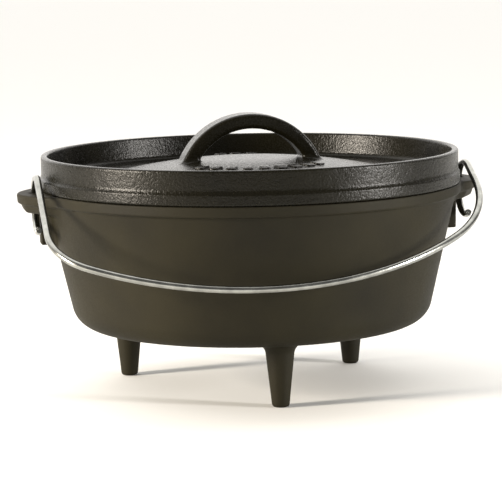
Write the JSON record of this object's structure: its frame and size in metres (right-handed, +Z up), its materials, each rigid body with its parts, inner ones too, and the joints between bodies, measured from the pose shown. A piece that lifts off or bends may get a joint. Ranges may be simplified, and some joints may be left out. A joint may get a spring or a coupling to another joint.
{
  "type": "camp dutch oven",
  "caption": "Round cast iron camp oven on tapered legs, with a flanged coal-holding lid, an arched lid handle and a hooked wire bail.",
  "frame": {"origin": "on the ground, at the middle of the circle that the feet stand on, which is the axis of the bowl", "axes": "+Z up, X through the two bail ears, -Y towards the front leg and the side where the bail hangs"},
  "size_m": [0.322, 0.2907, 0.1868],
  "materials": {
    "pot_iron": "seasoned, satin",
    "lid_iron": "seasoned, sand-cast grain, semi-gloss",
    "bail_wire": "bright zinc plated, drawn"
  },
  "bodies": {
    "pot_body": {"pot": "pot_iron"},
    "lid_body": {"lid": "lid_iron"},
    "bail_body": {"bail_handle": "bail_wire"}
  },
  "joints": [
    {"name": "lid_lift", "type": "slide", "parent": "pot_body", "child": "lid_body", "axis": [0, 0, 1], "range_m": [0, 0.15]},
    {"name": "bail_swing", "type": "hinge", "parent": "pot_body", "child": "bail_body", "pos_m": [0, -0.01739, 0.131], "axis": [-1, 0, 0], "range_deg": [0, 120]}
  ]
}
